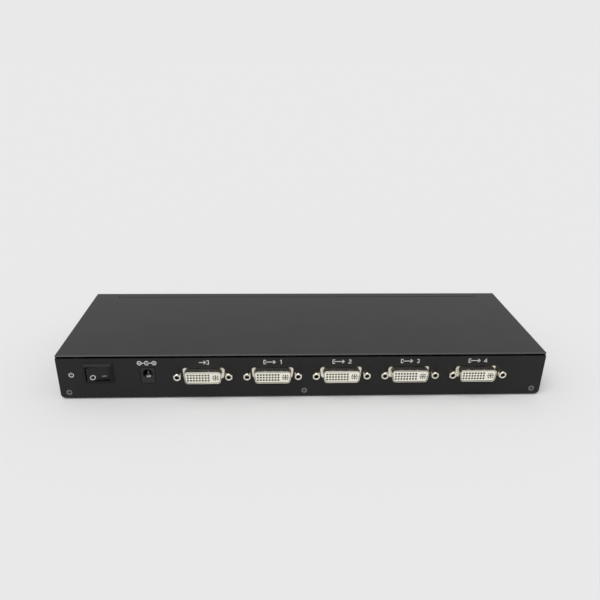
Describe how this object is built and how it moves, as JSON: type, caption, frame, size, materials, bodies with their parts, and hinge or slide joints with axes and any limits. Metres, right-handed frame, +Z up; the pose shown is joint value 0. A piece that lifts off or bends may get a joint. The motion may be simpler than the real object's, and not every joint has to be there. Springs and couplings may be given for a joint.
{
  "type": "video splitter",
  "caption": "Flat steel box with a row of DVI sockets with screw posts, a barrel power jack and a rocker power switch; splits a video signal to several screens.",
  "frame": {"origin": "under the middle of the whole object, at the soles of its feet", "axes": "+X along the socket row to the right seen from the socket side, +Y from the sockets to the far panel, +Z up"},
  "size_m": [0.32, 0.1158, 0.032],
  "materials": {
    "black_steel": "fine powder coat",
    "cover_steel": "fine powder coat",
    "zinc_steel": "zinc plated",
    "black_screw": "black oxide",
    "foot_rubber": "matt",
    "board_laminate": "solder resist",
    "shell_nickel": "nickel plate",
    "ivory_plastic": "moulded",
    "contact_brass": "gold flash",
    "post_nickel": "nickel plate",
    "black_plastic": "moulded",
    "switch_plastic": "moulded",
    "white_plastic": "moulded",
    "red_plastic": "soft insulation",
    "chip_plastic": "moulded epoxy",
    "sink_aluminium": "extruded",
    "light_plastic": "clear dome"
  },
  "bodies": {
    "case": {"base_tray": "black_steel", "top_cover": "cover_steel", "cover_brackets": "zinc_steel", "rear_panel": "black_steel", "front_panel": "black_steel", "rear_panel_screws": "black_screw", "front_panel_screws": "black_screw", "cover_screws": "black_screw", "rubber_feet": "foot_rubber", "main_board": "board_laminate", "board_standoffs": "zinc_steel", "board_screws": "zinc_steel", "dvi_shell_in": "shell_nickel", "dvi_shell_out_1": "shell_nickel", "dvi_shell_out_2": "shell_nickel", "dvi_shell_out_3": "shell_nickel", "dvi_shell_out_4": "shell_nickel", "dvi_insulator_in": "ivory_plastic", "dvi_insulator_out_1": "ivory_plastic", "dvi_insulator_out_2": "ivory_plastic", "dvi_insulator_out_3": "ivory_plastic", "dvi_insulator_out_4": "ivory_plastic", "dvi_contacts_in": "contact_brass", "dvi_contacts_out_1": "contact_brass", "dvi_contacts_out_2": "contact_brass", "dvi_contacts_out_3": "contact_brass", "dvi_contacts_out_4": "contact_brass", "dvi_posts_in": "post_nickel", "dvi_posts_out_1": "post_nickel", "dvi_posts_out_2": "post_nickel", "dvi_posts_out_3": "post_nickel", "dvi_posts_out_4": "post_nickel", "dc_jack_body": "black_plastic", "dc_jack_pin": "post_nickel", "dc_jack_spring": "post_nickel", "switch_body": "switch_plastic", "switch_terminals": "zinc_steel", "terminal_sleeves": "red_plastic", "switch_leads": "red_plastic", "lead_header": "white_plastic", "splitter_chip": "chip_plastic", "heat_sink": "sink_aluminium", "buffer_chips": "chip_plastic", "regulators": "chip_plastic", "smoothing_capacitors": "sink_aluminium", "power_choke": "chip_plastic", "clock_crystal": "zinc_steel", "chip_resistors": "chip_plastic", "status_leds": "light_plastic", "led_spacers": "black_plastic"},
    "rocker": {"switch_rocker": "switch_plastic", "rocker_plunger": "white_plastic", "rocker_spring": "zinc_steel"},
    "lever": {"contact_lever": "contact_brass"}
  },
  "joints": [
    {"name": "rocker_hinge", "type": "hinge", "parent": "case", "child": "rocker", "pos_m": [-0.134, -0.0513, 0.0192], "axis": [0, 0, -1], "range_deg": [0, 28]},
    {"name": "lever_hinge", "type": "hinge", "parent": "case", "child": "lever", "pos_m": [-0.134, -0.0442, 0.0192], "axis": [0, 0, -1], "range_deg": [-16.01, 0]}
  ],
  "couplings": [
    {"joint": "lever_hinge", "follows": "rocker_hinge", "ratio": -0.57143}
  ]
}
